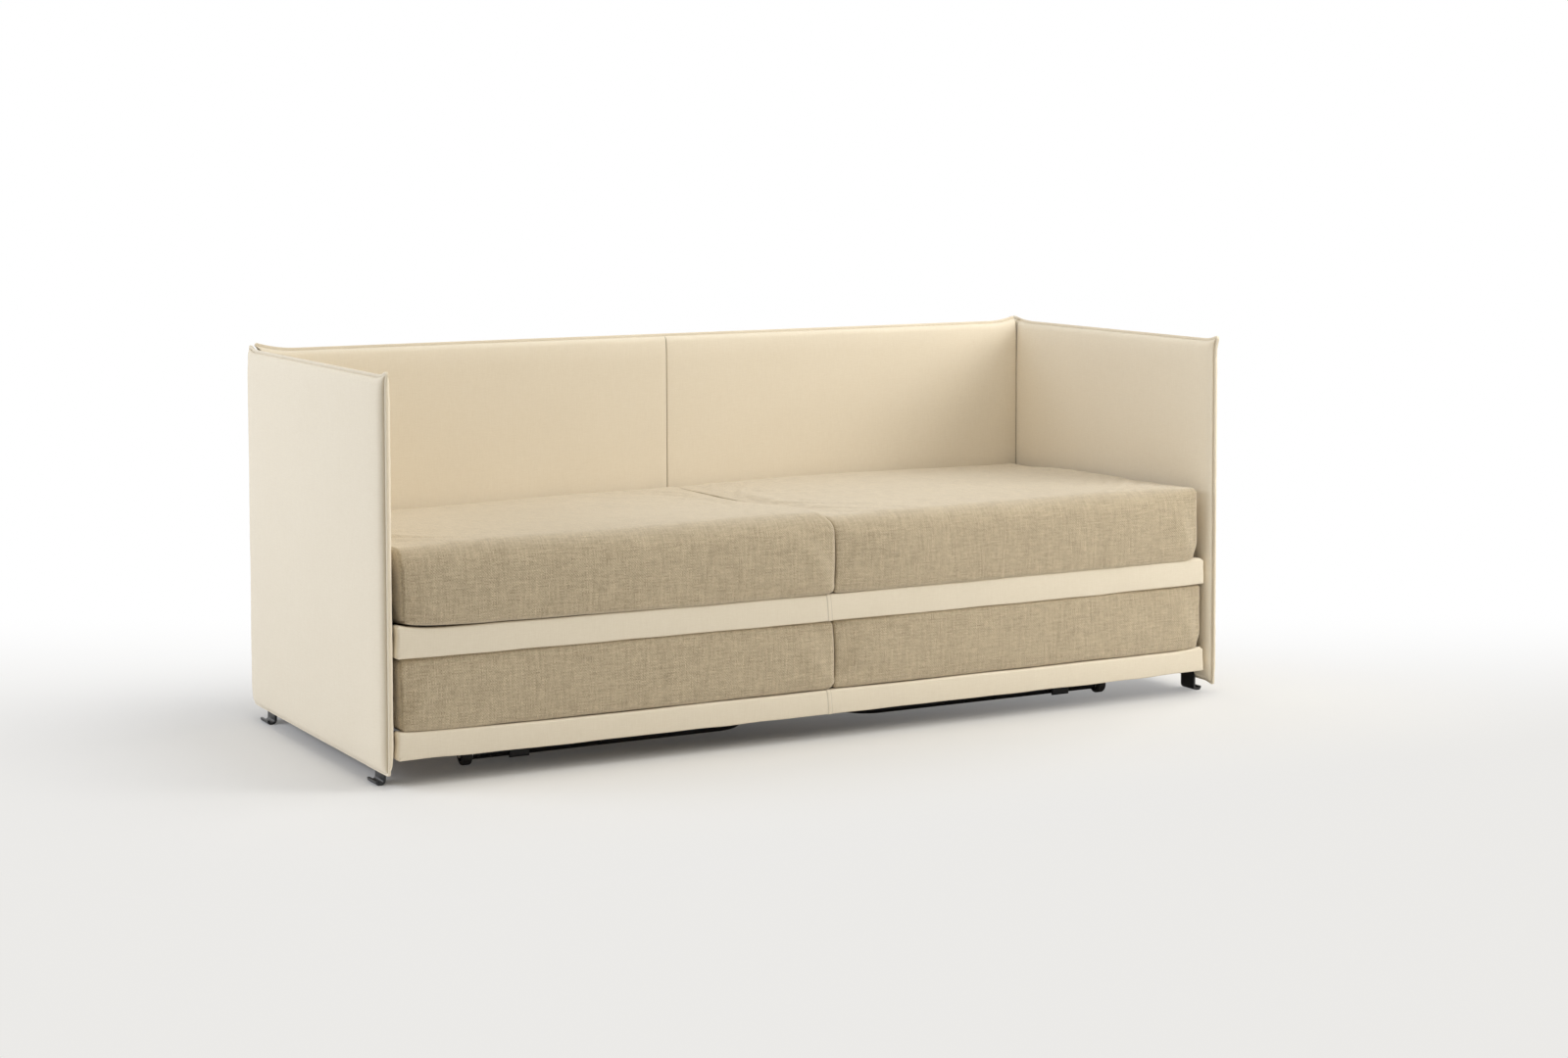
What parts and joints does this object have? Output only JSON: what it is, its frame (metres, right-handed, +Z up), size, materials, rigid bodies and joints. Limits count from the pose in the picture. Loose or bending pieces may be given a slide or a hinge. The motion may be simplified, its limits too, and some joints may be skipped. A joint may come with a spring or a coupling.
{
  "type": "trundle sofa bed",
  "caption": "Sofa with upholstered side and back panels, a fixed upper bed and a second bed on folding wheeled legs that pulls out from under it.",
  "frame": {"origin": "on the floor, in the middle of the sofa's width and depth", "axes": "+X along the sofa, to the right seen from the front; +Y from front to back; +Z up"},
  "size_m": [2.08, 0.864, 0.841],
  "materials": {
    "panel_fabric": "matte",
    "band_fabric": "matte",
    "mattress_fabric": "matte",
    "foam": "matte",
    "plywood": "matte",
    "beech": "satin",
    "frame_steel": "satin",
    "fastener_steel": "satin",
    "black_plastic": "matte",
    "wheel_rubber": "matte"
  },
  "bodies": {
    "sofa": {"left_panel_board": "plywood", "right_panel_board": "plywood", "back_panel_board": "plywood", "left_panel_cover": "panel_fabric", "right_panel_cover": "panel_fabric", "back_panel_cover": "panel_fabric", "front_left_foot": "frame_steel", "front_right_foot": "frame_steel", "rear_left_foot": "frame_steel", "rear_right_foot": "frame_steel", "foot_screws": "fastener_steel", "corner_angles": "fastener_steel", "corner_screws": "fastener_steel", "frame_spacers": "black_plastic", "frame_bolts": "fastener_steel", "insert_nuts": "fastener_steel", "upper_front_rail": "frame_steel", "upper_rear_rail": "frame_steel", "upper_left_end_rail": "frame_steel", "upper_right_end_rail": "frame_steel", "upper_cross_bars": "frame_steel", "upper_slats": "beech", "upper_slat_holders": "black_plastic", "upper_band_board": "plywood", "upper_band_cover": "band_fabric", "upper_band_bolts": "fastener_steel", "upper_left_cushion_cover": "mattress_fabric", "upper_right_cushion_cover": "mattress_fabric", "upper_left_cushion_foam": "foam", "upper_right_cushion_foam": "foam"},
    "trundle": {"lower_front_rail": "frame_steel", "lower_rear_rail": "frame_steel", "lower_left_end_rail": "frame_steel", "lower_right_end_rail": "frame_steel", "lower_cross_bars": "frame_steel", "lower_slats": "beech", "lower_slat_holders": "black_plastic", "lower_band_board": "plywood", "lower_band_cover": "band_fabric", "lower_band_bolts": "fastener_steel", "lower_left_cushion_cover": "mattress_fabric", "lower_right_cushion_cover": "mattress_fabric", "lower_left_cushion_foam": "foam", "lower_right_cushion_foam": "foam", "pivot_brackets": "frame_steel", "leg_clips": "black_plastic", "lower_rear_buffers": "wheel_rubber"},
    "left_leg": {"left_leg_tube": "frame_steel", "left_leg_axles": "fastener_steel"},
    "right_leg": {"right_leg_tube": "frame_steel", "right_leg_axles": "fastener_steel"},
    "front_left_wheel": {"front_left_wheel_hub": "black_plastic", "front_left_wheel_tyre": "wheel_rubber"},
    "rear_left_wheel": {"rear_left_wheel_hub": "black_plastic", "rear_left_wheel_tyre": "wheel_rubber"},
    "front_right_wheel": {"front_right_wheel_hub": "black_plastic", "front_right_wheel_tyre": "wheel_rubber"},
    "rear_right_wheel": {"rear_right_wheel_hub": "black_plastic", "rear_right_wheel_tyre": "wheel_rubber"}
  },
  "joints": [
    {"name": "trundle_slide", "type": "slide", "parent": "sofa", "child": "trundle", "axis": [0, -1, 0], "range_m": [0, 0.83]},
    {"name": "left_leg_fold", "type": "hinge", "parent": "trundle", "child": "left_leg", "pos_m": [-0.135, 0, 0.0225], "axis": [0, -1, 0], "range_deg": [0, 18.5]},
    {"name": "right_leg_fold", "type": "hinge", "parent": "trundle", "child": "right_leg", "pos_m": [0.135, 0, 0.0225], "axis": [0, 1, 0], "range_deg": [0, 18.5]},
    {"name": "front_left_wheel_spin", "type": "hinge", "parent": "left_leg", "child": "front_left_wheel", "pos_m": [-0.7995, -0.27, 0.0225], "axis": [1, 0, 0], "continuous": true},
    {"name": "rear_left_wheel_spin", "type": "hinge", "parent": "left_leg", "child": "rear_left_wheel", "pos_m": [-0.7995, 0.27, 0.0225], "axis": [1, 0, 0], "continuous": true},
    {"name": "front_right_wheel_spin", "type": "hinge", "parent": "right_leg", "child": "front_right_wheel", "pos_m": [0.7995, -0.27, 0.0225], "axis": [1, 0, 0], "continuous": true},
    {"name": "rear_right_wheel_spin", "type": "hinge", "parent": "right_leg", "child": "rear_right_wheel", "pos_m": [0.7995, 0.27, 0.0225], "axis": [1, 0, 0], "continuous": true}
  ]
}
